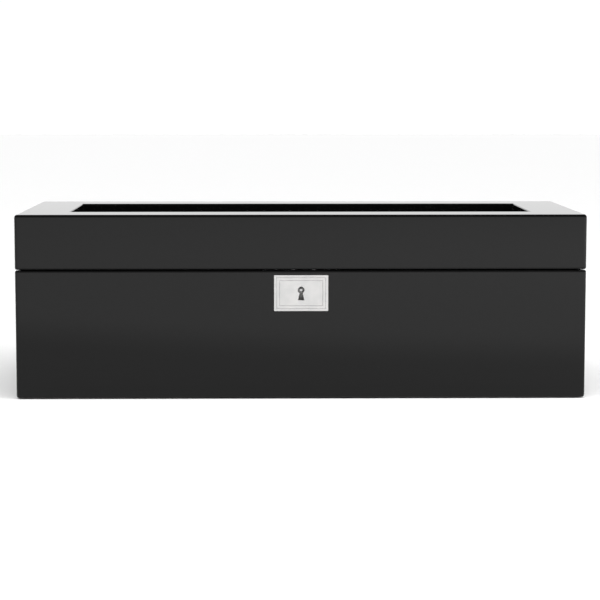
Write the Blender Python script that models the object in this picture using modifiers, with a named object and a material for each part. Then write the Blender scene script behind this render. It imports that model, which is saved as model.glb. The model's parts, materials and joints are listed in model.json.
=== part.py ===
"""A lacquered watch box: a case with five lined compartments, a hinged lid with a glass window,
a box lock in the front wall and a lift-out cushion in each compartment.

Metres, +Z up, +X to the right, and the front faces -Y. The origin is the centre of the underside.
"""

import math

import bmesh
import bpy
from mathutils import Matrix, Vector

MM = 0.001

# ---- driving sizes ------------------------------------------------------------------------------

# Outer size, and the play left between pieces that touch.
BOX_WIDTH = 362 * MM
BOX_DEPTH = 158 * MM
BOX_HEIGHT = 117.4 * MM
PLAY = 0.3 * MM

# Lacquered board: the case, the lid and the joint between them.
LID_HEIGHT = 34.8 * MM
PARTING = 0.4 * MM
WALL = 13 * MM
EDGE_ROUND = 1.8 * MM
SEAM_ROUND = 1.0 * MM
BASE_BOARD = 5 * MM
BASE_REBATE = 7 * MM
BASE_RECESS = 0.7 * MM
BASE_FELT = 1.0 * MM
FELT_SHORT = 0.5 * MM

# Lid window.
WINDOW_BORDER = 32 * MM
TOP_FRAME = 11.6 * MM
GLASS = 3 * MM
GLASS_LAP = 8 * MM
WINDOW_EASE = 0.8 * MM
RETAINER = 3.5 * MM

# Lining.
LINER = 3 * MM
LIP = 6 * MM
LINER_EASE = 0.9 * MM
LID_LINER = 2.5 * MM
FLOOR_PAD = 3 * MM
COMPARTMENTS = 5
DIVIDER = 4 * MM
DIVIDER_DROP = 11 * MM

# Cushions.
CUSHION_SIDE_PLAY = 2.3 * MM
CUSHION_DEPTH = 80 * MM
CUSHION_HEIGHT = 48 * MM
CUSHION_ROUND = 20 * MM
CUSHION_END_EASE = 3 * MM

# Butt hinges that stop against the chamfered back edge.
HINGE_INSET = 4 * MM
STOP_ANGLE = 95.0
STOP_PLAY = 0.5 * MM
HINGE_SPACING = 220 * MM
HINGE_LENGTH = 34 * MM
KNUCKLES = 5
BARREL_RADIUS = 2.5 * MM
PIN_RADIUS = 1.0 * MM
LEAF = 1.1 * MM
LEAF_LAND = 1.4 * MM
LEAF_SCREW_SPACING = 22 * MM

# Countersunk wood screws.
SCREW_HEAD_RADIUS = 1.5 * MM
SCREW_SHANK_RADIUS = 0.75 * MM
SCREW_HEAD_HEIGHT = 0.75 * MM
SCREW_LENGTH = 8 * MM
SCREW_SLOT = 0.5 * MM
SCREW_SLOT_DEPTH = 0.35 * MM

# Lock plate on the front, and its keyhole.
PLATE_WIDTH = 34.5 * MM
PLATE_HEIGHT = 23.2 * MM
PLATE_THICKNESS = 1.2 * MM
PLATE_PROUD = 0.5 * MM
PLATE_EASE = 0.25 * MM
KEYHOLE_RADIUS = 2.2 * MM
KEYHOLE_RISE = 1.9 * MM
KEYHOLE_DROP = 4.6 * MM
KEYHOLE_NECK = 1.0 * MM
KEYHOLE_FOOT = 2.0 * MM
KEY_CLEARANCE = 1.0 * MM
POST_RADIUS = 0.8 * MM

# Lock body in the front wall.
LOCK_HEIGHT = 23.6 * MM
LOCK_THICKNESS = 7.4 * MM
LOCK_SHEET = 1.0 * MM
LOCK_END_PLAY = 0.8 * MM
FACE_PLATE = 1.1 * MM
FACE_PLATE_TAB = 8 * MM
FACE_SCREW_INSET = 3.2 * MM

# Bolt and the hooks that it holds.
BOLT_THICKNESS = 1.8 * MM
BOLT_BAR = 3.4 * MM
BOLT_NOSE = 1.5 * MM
BOLT_RISER = 2.0 * MM
HOOK_SPACING = 13 * MM
HOOK_STEM = 2.0 * MM
HOOK_BARB = 3.2 * MM
HOOK_BARB_HEIGHT = 1.5 * MM
HOOK_REACH = 7.2 * MM
HOOK_THICKNESS = 2.4 * MM
HOOK_PLAY = 0.5 * MM
TALON_WIDTH = 3.4 * MM
TALON_DEPTH = 1.3 * MM
SPRING_THICKNESS = 0.5 * MM
SPRING_RUN = 11 * MM

# ---- places that follow from them ---------------------------------------------------------------

FRONT = -BOX_DEPTH / 2
BACK = BOX_DEPTH / 2
SIDE = BOX_WIDTH / 2
BASE_FOOT = BASE_FELT + PLAY
CASE_FOOT = BASE_FOOT - BASE_RECESS
LID_FOOT = BOX_HEIGHT - LID_HEIGHT
RIM = LID_FOOT - PARTING
PARTING_PLANE = (RIM + LID_FOOT) / 2

AXIS = Vector((0, BACK - HINGE_INSET, PARTING_PLANE))
LEAF_DEPTH = WALL - HINGE_INSET - LEAF_LAND

BASE_TOP = BASE_FOOT + BASE_BOARD
LINER_FOOT = BASE_TOP + PLAY
LIP_TOP = PARTING_PLANE + LIP
LINED_SIDE = SIDE - WALL - PLAY
LINED_FRONT = FRONT + WALL + PLAY
LINED_BACK = BACK - WALL - PLAY
BAY_SIDE = LINED_SIDE - LINER
BAY_FRONT = LINED_FRONT + LINER
BAY_BACK = LINED_BACK - LINER
FLOOR_TOP = LINER_FOOT + FLOOR_PAD
DIVIDER_TOP = RIM - DIVIDER_DROP
COMPARTMENT = (2 * BAY_SIDE - (COMPARTMENTS - 1) * DIVIDER) / COMPARTMENTS
PITCH = COMPARTMENT + DIVIDER

FRAME_FOOT = BOX_HEIGHT - TOP_FRAME
REBATE_TOP = FRAME_FOOT + PLAY + GLASS + PLAY
WINDOW_SIDE = SIDE - WINDOW_BORDER
WINDOW_FRONT = FRONT + WINDOW_BORDER
WINDOW_BACK = BACK - WINDOW_BORDER
RETAINER_TOP = FRAME_FOOT - PLAY
RETAINER_FOOT = RETAINER_TOP - RETAINER

LOCK_BACK = FRONT + WALL - PLAY
LOCK_FRONT = LOCK_BACK - LOCK_THICKNESS
LOCK_MIDDLE = (LOCK_FRONT + LOCK_BACK) / 2
LOCK_TOP = RIM - FACE_PLATE - PLAY
LOCK_FOOT = LOCK_TOP - LOCK_HEIGHT

HOOK_TIP = LID_FOOT - HOOK_REACH
BARB_TOP = HOOK_TIP + HOOK_BARB_HEIGHT
NOSE_FOOT = BARB_TOP + HOOK_PLAY
NOSE_TOP = NOSE_FOOT + BOLT_NOSE
BAR_TOP = HOOK_TIP - HOOK_PLAY
BAR_FOOT = BAR_TOP - BOLT_BAR
HOOK_SPAN = HOOK_STEM + HOOK_BARB
HOOK_STARTS = [side * HOOK_SPACING / 2 - HOOK_SPAN / 2 for side in (-1, 1)]
BOLT_THROW = HOOK_PLAY + HOOK_BARB - PLAY
BOLT_LEFT = HOOK_STARTS[0] - HOOK_PLAY - BOLT_THROW - BOLT_RISER

LOCK_WIDTH = 2 * (LOCK_SHEET + LOCK_END_PLAY - BOLT_LEFT)
FACE_PLATE_LENGTH = LOCK_WIDTH + 2 * FACE_PLATE_TAB
FACE_SCREW_SPACING = FACE_PLATE_LENGTH - 2 * FACE_SCREW_INSET

KEY_AXIS = BAR_FOOT - KEY_CLEARANCE - POST_RADIUS
PLATE_MIDDLE = KEY_AXIS - KEYHOLE_RISE
PLATE_TOP = PLATE_MIDDLE + PLATE_HEIGHT / 2
PLATE_FOOT = PLATE_MIDDLE - PLATE_HEIGHT / 2
PLATE_BACK = FRONT - PLATE_PROUD + PLATE_THICKNESS

SIDES = 16      # facets of a small round piece

# ---- collections, finishes and tools ------------------------------------------------------------

for leftover in list(bpy.data.objects):
    bpy.data.objects.remove(leftover, do_unlink=True)

PARTS = bpy.data.collections.new("watch_box")
CUTTERS = bpy.data.collections.new("cutters")
for collection in (PARTS, CUTTERS):
    bpy.context.scene.collection.children.link(collection)


def finish(name, colour, roughness, metallic=0.0, transmission=0.0, coat=0.0):
    """A plain Principled finish."""
    material = bpy.data.materials.new(name)
    material.use_nodes = True
    shader = material.node_tree.nodes["Principled BSDF"]
    shader.inputs["Base Color"].default_value = (*colour, 1)
    shader.inputs["Roughness"].default_value = roughness
    shader.inputs["Metallic"].default_value = metallic
    shader.inputs["Transmission Weight"].default_value = transmission
    shader.inputs["Coat Weight"].default_value = coat
    return material


LACQUER = finish("black_lacquer", (0.006, 0.006, 0.007), 0.06, coat=1.0)
BARE_BOARD = finish("black_board", (0.03, 0.028, 0.027), 0.7)
FELT = finish("black_felt", (0.012, 0.012, 0.013), 0.95)
SUEDE = finish("charcoal_suede", (0.045, 0.045, 0.05), 0.9)
LEATHER = finish("black_leather", (0.014, 0.014, 0.015), 0.5)
CLEAR_GLASS = finish("clear_glass", (0.95, 0.98, 0.97), 0.02, transmission=1.0)
NICKEL = finish("satin_nickel", (0.75, 0.74, 0.71), 0.28, metallic=1.0)
STEEL = finish("lock_steel", (0.5, 0.5, 0.5), 0.4, metallic=1.0)


def place(name, mesh, material=None):
    """An object for a mesh: a part when it has a finish, and otherwise a hidden cutter."""
    obj = bpy.data.objects.new(name, mesh)
    if material:
        mesh.materials.clear()
        mesh.materials.append(material)
        PARTS.objects.link(obj)
    else:
        obj.hide_render = True
        obj.display_type = "WIRE"
        CUTTERS.objects.link(obj)
    return obj


def block(name, low, high, material=None):
    """A box between two corners."""
    low, high = Vector(low), Vector(high)
    shape = bmesh.new()
    bmesh.ops.create_cube(shape, size=1.0)
    bmesh.ops.scale(shape, vec=high - low, verts=shape.verts)
    mesh = bpy.data.meshes.new(name)
    shape.to_mesh(mesh)
    shape.free()
    obj = place(name, mesh, material)
    obj.location = (low + high) / 2
    return obj


def rod(name, radius, start, end, material=None):
    """A round bar between two points."""
    start, end = Vector(start), Vector(end)
    shape = bmesh.new()
    bmesh.ops.create_cone(
        shape, cap_ends=True, segments=SIDES, radius1=radius, radius2=radius, depth=(end - start).length
    )
    mesh = bpy.data.meshes.new(name)
    shape.to_mesh(mesh)
    shape.free()
    mesh.shade_smooth()
    mesh.set_sharp_from_angle(angle=math.radians(40))
    obj = place(name, mesh, material)
    obj.rotation_euler = (end - start).to_track_quat("Z", "Y").to_euler()
    obj.location = (start + end) / 2
    return obj


def slab(name, loops, low, high, material=None, upright=False, origin=(0, 0)):
    """Flat outlines, holes included, given thickness from low to high along Z.

    With upright the outlines are drawn in X and Z, and the thickness runs along Y."""
    curve = bpy.data.curves.new(name, "CURVE")
    curve.dimensions = "2D"
    curve.fill_mode = "BOTH"
    curve.extrude = (high - low) / 2
    for loop in loops:
        spline = curve.splines.new("POLY")
        spline.points.add(len(loop) - 1)
        spline.use_cyclic_u = True
        for point, corner in zip(spline.points, loop):
            point.co = (corner[0] - origin[0], corner[1] - origin[1], 0, 1)
    outline = bpy.data.objects.new(name + "_outline", curve)
    CUTTERS.objects.link(outline)
    middle = (low + high) / 2
    outline.location = (origin[0], middle, origin[1]) if upright else (*origin, middle)
    outline.rotation_euler = (math.pi / 2 if upright else 0, 0, 0)
    bpy.context.view_layer.update()
    mesh = bpy.data.meshes.new_from_object(outline.evaluated_get(bpy.context.evaluated_depsgraph_get()))
    shape = bmesh.new()
    shape.from_mesh(mesh)
    bmesh.ops.remove_doubles(shape, verts=shape.verts, dist=0.001 * MM)
    shape.to_mesh(mesh)
    shape.free()
    obj = place(name, mesh, material)
    obj.matrix_world = outline.matrix_world
    bpy.data.objects.remove(outline)
    return obj


def oblong(side, front, back):
    """The four corners of an outline that is even about X = 0."""
    return [(-side, front), (side, front), (side, back), (-side, back)]


def combine(obj, tool, operation):
    """A Boolean with a hidden tool."""
    modifier = obj.modifiers.new(tool.name, "BOOLEAN")
    modifier.operation = operation
    modifier.solver = "EXACT"
    modifier.object = tool
    return obj


def cut(obj, *tools):
    for tool in tools:
        combine(obj, tool, "DIFFERENCE")
    return obj


def join(obj, *tools):
    for tool in tools:
        combine(obj, tool, "UNION")
    return obj


def ease(obj, width, segments=2):
    """Rounds the sharp edges."""
    modifier = obj.modifiers.new("eased_edges", "BEVEL")
    modifier.width = width
    modifier.segments = segments
    modifier.limit_method = "ANGLE"
    modifier.angle_limit = math.radians(40)
    return obj


def lined_board(name, low, high):
    """A thin board wrapped in suede."""
    return ease(block(name, low, high, SUEDE), LINER_EASE)


# ---- lacquered board: case and lid ----------------------------------------------------------------

OVER = 5 * MM       # how far a cutter runs past the surface that it cuts


def rounded_form(name, low_z, high_z):
    """The outer shape that the walls are cut from. Its edges are rounded, and finer where it parts."""
    form = block(name, (-SIDE, FRONT, low_z), (SIDE, BACK, high_z))
    parting = RIM if high_z == RIM else LID_FOOT
    weights = form.data.attributes.new("bevel_weight_edge", "FLOAT", "EDGE")
    for edge, weight in zip(form.data.edges, weights.data):
        ends = [form.data.vertices[index].co.z + form.location.z for index in edge.vertices]
        at_parting = all(abs(z - parting) < PLAY / 2 for z in ends)
        weight.value = SEAM_ROUND / EDGE_ROUND if at_parting else 1.0
    ease(form, EDGE_ROUND).modifiers["eased_edges"].limit_method = "WEIGHT"
    return form


def chamfer_cutter(name, upward):
    """Takes off the back edge along a plane just outside the hinge axis.

    The planes on the case and on the lid meet when the lid has turned by the stop angle."""
    slope = math.radians(STOP_ANGLE / 2)
    outward = Vector((0, math.sin(slope), upward * math.cos(slope)))
    reach = 6 * HINGE_INSET
    cutter = block(name, (-SIDE - OVER, -reach, 0), (SIDE + OVER, reach, reach))
    start = AXIS - outward * STOP_PLAY / 2
    turn = outward.to_track_quat("Z", "Y").to_matrix().to_4x4()
    cutter.matrix_world = Matrix.Translation(start + outward * reach / 2) @ turn
    return cutter


def mitred_outlines():
    """Plan outline of each of the four walls, with play along the mitres."""
    pull = PLAY / 2 * math.sqrt(2)
    inner_side, inner_front, inner_back = SIDE - WALL, FRONT + WALL, BACK - WALL
    return {
        "front": [
            (-SIDE - OVER + pull, FRONT - OVER),
            (SIDE + OVER - pull, FRONT - OVER),
            (inner_side - pull, inner_front),
            (-inner_side + pull, inner_front),
        ],
        "back": [
            (inner_side - pull, inner_back),
            (SIDE + OVER - pull, BACK + OVER),
            (-SIDE - OVER + pull, BACK + OVER),
            (-inner_side + pull, inner_back),
        ],
        "left": [
            (-SIDE - OVER, FRONT - OVER + pull),
            (-inner_side, inner_front + pull),
            (-inner_side, inner_back - pull),
            (-SIDE - OVER, BACK + OVER - pull),
        ],
        "right": [
            (SIDE + OVER, BACK + OVER - pull),
            (inner_side, inner_back - pull),
            (inner_side, inner_front + pull),
            (SIDE + OVER, FRONT - OVER + pull),
        ],
    }


def walls(prefix, low_z, high_z, form):
    """Four mitred walls inside the outer form."""
    made = {}
    for side, outline in mitred_outlines().items():
        wall = slab(f"{prefix}_{side}", [outline], low_z, high_z, LACQUER)
        made[side] = combine(wall, form, "INTERSECT")
    return made


def case_board():
    """The case's four walls, and the base board in their rebate."""
    form = rounded_form("case_form", CASE_FOOT, RIM)
    cut(form, chamfer_cutter("case_chamfer", 1))
    made = walls("case", CASE_FOOT - OVER, RIM + OVER, form)
    base_inset = WALL - BASE_REBATE
    rebate = block(
        "base_rebate",
        (-SIDE + base_inset, FRONT + base_inset, CASE_FOOT - OVER),
        (SIDE - base_inset, BACK - base_inset, BASE_TOP + PLAY),
    )
    for wall in made.values():
        cut(wall, rebate)
    fitted = base_inset + PLAY
    block(
        "case_base",
        (-SIDE + fitted, FRONT + fitted, BASE_FOOT),
        (SIDE - fitted, BACK - fitted, BASE_TOP),
        BARE_BOARD,
    )
    short = fitted + FELT_SHORT
    block(
        "base_felt",
        (-SIDE + short, FRONT + short, 0),
        (SIDE - short, BACK - short, BASE_FELT),
        FELT,
    )
    return made


def lid_board():
    """The lid's four walls, and the top frame with its window and the rebate for the glass."""
    form = rounded_form("lid_form", LID_FOOT, BOX_HEIGHT)
    cut(form, chamfer_cutter("lid_chamfer", -1))
    made = walls("lid", LID_FOOT - OVER, FRAME_FOOT - PLAY, form)
    window = oblong(WINDOW_SIDE, WINDOW_FRONT, WINDOW_BACK)
    outer = oblong(SIDE + OVER, FRONT - OVER, BACK + OVER)
    top = slab("lid_top_frame", [outer, window], FRAME_FOOT, BOX_HEIGHT, LACQUER)
    ease(top, WINDOW_EASE)
    combine(top, form, "INTERSECT")
    rebate = block(
        "glass_rebate",
        (-WINDOW_SIDE - GLASS_LAP, WINDOW_FRONT - GLASS_LAP, FRAME_FOOT - OVER),
        (WINDOW_SIDE + GLASS_LAP, WINDOW_BACK + GLASS_LAP, REBATE_TOP),
    )
    cut(top, rebate)
    return made


def window_glass():
    """The pane in the rebate, and the suede-covered frame that holds it up."""
    lap = GLASS_LAP - PLAY
    ease(
        block(
            "window_glass",
            (-WINDOW_SIDE - lap, WINDOW_FRONT - lap, FRAME_FOOT + PLAY),
            (WINDOW_SIDE + lap, WINDOW_BACK + lap, REBATE_TOP - PLAY),
            CLEAR_GLASS,
        ),
        WINDOW_EASE / 2,
        1,
    )
    loops = [
        oblong(LINED_SIDE, LINED_FRONT, LINED_BACK),
        oblong(WINDOW_SIDE, WINDOW_FRONT, WINDOW_BACK),
    ]
    ease(slab("glass_retainer", loops, RETAINER_FOOT, RETAINER_TOP, SUEDE), LINER_EASE)


# ---- lining ---------------------------------------------------------------------------------------


def lining(prefix, thickness, low_z, high_z):
    """Four suede boards inside the walls: long ones front and back, short ones between them."""
    inner_front, inner_back = LINED_FRONT + thickness, LINED_BACK - thickness
    short_front, short_back = inner_front + PLAY, inner_back - PLAY
    inner_side = LINED_SIDE - thickness
    lined_board(f"{prefix}_front", (-LINED_SIDE, LINED_FRONT, low_z), (LINED_SIDE, inner_front, high_z))
    lined_board(f"{prefix}_back", (-LINED_SIDE, inner_back, low_z), (LINED_SIDE, LINED_BACK, high_z))
    lined_board(f"{prefix}_left", (-LINED_SIDE, short_front, low_z), (-inner_side, short_back, high_z))
    lined_board(f"{prefix}_right", (inner_side, short_front, low_z), (LINED_SIDE, short_back, high_z))


def compartments():
    """Floor pad, dividers and one lift-out cushion for each compartment."""
    lined_board(
        "floor_pad",
        (-BAY_SIDE + PLAY, BAY_FRONT + PLAY, LINER_FOOT),
        (BAY_SIDE - PLAY, BAY_BACK - PLAY, FLOOR_TOP),
    )
    for index in range(COMPARTMENTS - 1):
        x = (index - (COMPARTMENTS - 2) / 2) * PITCH
        lined_board(
            f"divider_{index + 1}",
            (x - DIVIDER / 2, BAY_FRONT + PLAY, FLOOR_TOP + PLAY),
            (x + DIVIDER / 2, BAY_BACK - PLAY, DIVIDER_TOP),
        )
    for index in range(COMPARTMENTS):
        cushion(f"cushion_{index + 1}", (index - (COMPARTMENTS - 1) / 2) * PITCH)


def corner_arc(centre, radius, start_degrees, steps):
    """Points along a quarter circle."""
    angles = [math.radians(start_degrees + 90 * step / steps) for step in range(steps + 1)]
    return [(centre[0] + radius * math.cos(a), centre[1] + radius * math.sin(a)) for a in angles]


def cushion(name, x):
    """A roll with its axis along X: an oblong with round corners, seen from the side."""
    half_depth, half_height = CUSHION_DEPTH / 2, CUSHION_HEIGHT / 2
    radius = min(CUSHION_ROUND, half_height - PLAY, half_depth - PLAY)
    flat_depth, flat_height = half_depth - radius, half_height - radius
    outline = []
    for quarter, (u, v) in enumerate(((1, 1), (-1, 1), (-1, -1), (1, -1))):
        outline += corner_arc((u * flat_depth, v * flat_height), radius, 90 * quarter, 6)
    half_width = COMPARTMENT / 2 - CUSHION_SIDE_PLAY
    roll = slab(name, [outline], -half_width, half_width, LEATHER)
    # Local X becomes the box's Y, local Y its Z and local Z its X.
    stand = Matrix(((0, 0, 1), (1, 0, 0), (0, 1, 0))).to_4x4()
    roll.matrix_world = Matrix.Translation((x, 0, FLOOR_TOP + PLAY + half_height)) @ stand
    ease(roll, CUSHION_END_EASE)


# ---- screws ---------------------------------------------------------------------------------------


def screw_shape(name, head, direction, grow=0.0, material=None):
    """A countersunk screw turned about its own axis. With grow it is the cutter for its hole."""
    head_radius = SCREW_HEAD_RADIUS + grow
    shank_radius = SCREW_SHANK_RADIUS + grow
    top = grow + (OVER if grow else 0)
    shank_end = SCREW_SHANK_RADIUS - SCREW_LENGTH
    profile = [
        (0, top),
        (head_radius, top),
        (head_radius, 0),
        (shank_radius, -SCREW_HEAD_HEIGHT),
        (shank_radius, shank_end),
        (0, shank_end - shank_radius),
    ]
    if not grow:
        profile.pop(1)
    mesh = bpy.data.meshes.new(name)
    mesh.from_pydata([(r, 0, z) for r, z in profile], [(i, i + 1) for i in range(len(profile) - 1)], [])
    obj = place(name, mesh, material)
    turned = obj.modifiers.new("turned", "SCREW")
    turned.steps = turned.render_steps = 12
    turned.use_merge_vertices = True
    turned.merge_threshold = 0.01 * MM
    turned.use_smooth_shade = True
    # The head faces against the direction in which the screw is driven.
    turn = (-Vector(direction)).to_track_quat("Z", "Y").to_matrix().to_4x4()
    obj.matrix_world = Matrix.Translation(Vector(head)) @ turn
    return obj


def screw(name, head, direction):
    """A screw with a straight slot in its head."""
    made = screw_shape(name, head, direction, material=NICKEL)
    along = (SCREW_HEAD_RADIUS + OVER, SCREW_SLOT / 2, SCREW_SLOT_DEPTH)
    slot = block(f"{name}_slot", [-size for size in along], along)
    slot.matrix_world = made.matrix_world.copy()
    return cut(made, slot)


# ---- hinges ---------------------------------------------------------------------------------------


def knuckle_spans(x, own):
    """Where along X the knuckles of one leaf lie. The case leaf has the odd ones, the lid leaf the even."""
    pitch = HINGE_LENGTH / KNUCKLES
    start = x - HINGE_LENGTH / 2
    return [
        (start + index * pitch, start + (index + 1) * pitch)
        for index in range(KNUCKLES)
        if index % 2 == own
    ]


def hinge_leaf(name, x, own, low_z, high_z, screw_heads, direction):
    """A leaf let into the rim, with its share of the barrel."""
    leaf = block(
        name,
        (x - HINGE_LENGTH / 2, AXIS.y - LEAF_DEPTH, low_z),
        (x + HINGE_LENGTH / 2, AXIS.y, high_z),
        NICKEL,
    )
    clear = BARREL_RADIUS + PLAY
    for index, (low_x, high_x) in enumerate(knuckle_spans(x, 1 - own)):
        ends = (low_x, AXIS.y, AXIS.z), (high_x, AXIS.y, AXIS.z)
        cut(leaf, rod(f"{name}_room_{index}", clear, *ends))
    for index, (low_x, high_x) in enumerate(knuckle_spans(x, own)):
        knuckle = rod(
            f"{name}_knuckle_{index}",
            BARREL_RADIUS,
            (low_x + PLAY, AXIS.y, AXIS.z),
            (high_x - PLAY, AXIS.y, AXIS.z),
        )
        join(leaf, knuckle)
    ends = HINGE_LENGTH / 2 + OVER
    bore = rod(
        f"{name}_bore", PIN_RADIUS + PLAY, (x - ends, AXIS.y, AXIS.z), (x + ends, AXIS.y, AXIS.z)
    )
    cut(leaf, bore)
    for index, head in enumerate(screw_heads):
        cut(leaf, screw_shape(f"{name}_hole_{index}", head, direction, grow=PLAY))
    return leaf


def hinge(side, x, case_back, lid_back):
    """One butt hinge: two leaves, a pin and four screws, and the room for them in both back walls."""
    screw_y = AXIS.y - (LEAF_DEPTH + BARREL_RADIUS + PLAY) / 2
    screw_xs = [x + step * LEAF_SCREW_SPACING / 2 for step in (-1, 1)]
    seats = (
        ("case", 0, case_back, RIM - LEAF, RIM, RIM, (0, 0, -1)),
        ("lid", 1, lid_back, LID_FOOT, LID_FOOT + LEAF, LID_FOOT, (0, 0, 1)),
    )
    for body, own, wall, low_z, high_z, face, direction in seats:
        heads = [(screw_x, screw_y, face) for screw_x in screw_xs]
        name = f"hinge_{side}_{body}_leaf"
        hinge_leaf(name, x, own, low_z, high_z, heads, direction)
        half = HINGE_LENGTH / 2 + PLAY
        sunk = -direction[2] * (LEAF + PLAY)
        seat_low, seat_high = sorted((face - sunk, face + direction[2] * -OVER))
        seat = block(
            f"{name}_seat",
            (x - half, AXIS.y - LEAF_DEPTH - PLAY, seat_low),
            (x + half, AXIS.y, seat_high),
        )
        room = rod(
            f"{name}_barrel_room",
            BARREL_RADIUS + 2 * PLAY,
            (x - half, AXIS.y, AXIS.z),
            (x + half, AXIS.y, AXIS.z),
        )
        cut(wall, seat, room)
        for index, head in enumerate(heads):
            screw(f"hinge_{side}_{body}_screw_{index + 1}", head, direction)
            cut(wall, screw_shape(f"{name}_pilot_{index}", head, direction, grow=PLAY))
    pin_end = HINGE_LENGTH / 2 - PLAY
    rod(
        f"hinge_{side}_pin",
        PIN_RADIUS,
        (x - pin_end, AXIS.y, AXIS.z),
        (x + pin_end, AXIS.y, AXIS.z),
        NICKEL,
    )


# ---- lock -----------------------------------------------------------------------------------------


def keyhole(grow=0.0):
    """A round hole over a flared slot, drawn in X and Z."""
    radius = KEYHOLE_RADIUS + grow
    neck, foot = KEYHOLE_NECK + grow, KEYHOLE_FOOT + grow
    bottom = PLATE_MIDDLE - KEYHOLE_DROP - grow
    meet = math.degrees(math.asin(neck / radius))
    sweep = 360 - 2 * meet
    steps = 14
    angles = [math.radians(-90 + meet + sweep * step / steps) for step in range(steps + 1)]
    arc = [(radius * math.cos(a), KEY_AXIS + radius * math.sin(a)) for a in angles]
    return [*arc, (-foot, bottom), (foot, bottom)]


def lock_plate(front_wall):
    """The plate on the front, let partly into the wall, and the way through for the key."""
    half = PLATE_WIDTH / 2
    outline = oblong(half, PLATE_FOOT, PLATE_TOP)
    plate = slab(
        "lock_plate", [outline, keyhole()], FRONT - PLATE_PROUD, PLATE_BACK, NICKEL, upright=True
    )
    ease(plate, PLATE_EASE, 1)
    recess = block(
        "plate_recess",
        (-half - PLAY, FRONT - OVER, PLATE_FOOT - PLAY),
        (half + PLAY, PLATE_BACK + PLAY, PLATE_TOP + PLAY),
    )
    passage = slab("key_passage", [keyhole(2 * PLAY)], FRONT - OVER, LOCK_FRONT, upright=True)
    cut(front_wall, recess, passage)


def hook_slots(prefix, low_z, high_z):
    """Cutters for the slots that the lid's hooks pass through."""
    return [
        block(
            f"{prefix}_hook_slot_{index}",
            (start - HOOK_PLAY, LOCK_MIDDLE - HOOK_THICKNESS / 2 - HOOK_PLAY, low_z),
            (start + HOOK_SPAN + HOOK_PLAY, LOCK_MIDDLE + HOOK_THICKNESS / 2 + HOOK_PLAY, high_z),
        )
        for index, start in enumerate(HOOK_STARTS)
    ]


def face_screws(prefix, face, direction, plate, wall):
    """The two screws of a face plate, and their holes."""
    for index, step in enumerate((-1, 1)):
        head = (step * FACE_SCREW_SPACING / 2, LOCK_MIDDLE, face)
        screw(f"{prefix}_screw_{index + 1}", head, direction)
        hole = screw_shape(f"{prefix}_screw_hole_{index}", head, direction, grow=PLAY)
        cut(plate, hole)
        cut(wall, hole)


def lock_body(front_wall):
    """The lock let into the inside of the front wall: tray, cover, post, bolt, spring and face plate."""
    half = LOCK_WIDTH / 2
    cover_front = LOCK_BACK - LOCK_SHEET
    tray_back = cover_front - PLAY
    tray = block("lock_tray", (-half, LOCK_FRONT, LOCK_FOOT), (half, tray_back, LOCK_TOP), STEEL)
    hollow_front = LOCK_FRONT + LOCK_SHEET
    hollow = block(
        "lock_hollow",
        (-half + LOCK_SHEET, hollow_front, LOCK_FOOT + LOCK_SHEET),
        (half - LOCK_SHEET, tray_back + OVER, LOCK_TOP - LOCK_SHEET),
    )
    way_in = slab("lock_keyhole", [keyhole()], LOCK_FRONT - OVER, hollow_front + PLAY, upright=True)
    slots = hook_slots("lock", LOCK_TOP - 2 * LOCK_SHEET, RIM + OVER)
    cut(tray, hollow, way_in, *slots)
    block("lock_cover", (-half, cover_front, LOCK_FOOT), (half, LOCK_BACK, LOCK_TOP), STEEL)
    rod(
        "lock_post",
        POST_RADIUS,
        (0, cover_front - PLAY, KEY_AXIS),
        (0, FRONT - PLATE_PROUD + PLAY, KEY_AXIS),
        STEEL,
    )
    face_half = FACE_PLATE_LENGTH / 2
    face = block(
        "lock_face_plate", (-face_half, LOCK_FRONT, RIM - FACE_PLATE), (face_half, LOCK_BACK, RIM), NICKEL
    )
    cut(face, *slots)
    pocket = block(
        "lock_pocket",
        (-half - PLAY, LOCK_FRONT - PLAY, LOCK_FOOT - PLAY),
        (half + PLAY, FRONT + WALL + OVER, RIM + OVER),
    )
    face_seat = block(
        "lock_face_seat",
        (-face_half - PLAY, LOCK_FRONT - PLAY, RIM - FACE_PLATE - PLAY),
        (face_half + PLAY, FRONT + WALL + OVER, RIM + OVER),
    )
    cut(front_wall, pocket, face_seat)
    face_screws("lock_face", RIM, (0, 0, -1), face, front_wall)
    inside = half - LOCK_SHEET - PLAY
    bolt(inside)
    bolt_spring(inside)


def bolt(inside):
    """A bar with two noses. Thrown to +X, each nose lies over the barb of a hook."""
    first, last = [start - HOOK_PLAY for start in HOOK_STARTS]
    bar_right = inside - BOLT_THROW
    talon = -BOLT_THROW / 2
    outline = [
        (BOLT_LEFT, BAR_FOOT),
        (talon - TALON_WIDTH / 2, BAR_FOOT),
        (talon - TALON_WIDTH / 2, BAR_FOOT + TALON_DEPTH),
        (talon + TALON_WIDTH / 2, BAR_FOOT + TALON_DEPTH),
        (talon + TALON_WIDTH / 2, BAR_FOOT),
        (bar_right, BAR_FOOT),
        (bar_right, BAR_TOP),
    ]
    for tip in (last, first):
        riser = tip - BOLT_THROW
        outline += [
            (riser, BAR_TOP),
            (riser, NOSE_FOOT),
            (tip, NOSE_FOOT),
            (tip, NOSE_TOP),
            (riser - BOLT_RISER, NOSE_TOP),
            (riser - BOLT_RISER, BAR_TOP),
        ]
    outline.pop()
    half = BOLT_THICKNESS / 2
    origin = (0, (BAR_FOOT + BAR_TOP) / 2)
    slab("lock_bolt", [outline], LOCK_MIDDLE - half, LOCK_MIDDLE + half, STEEL, True, origin)


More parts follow.
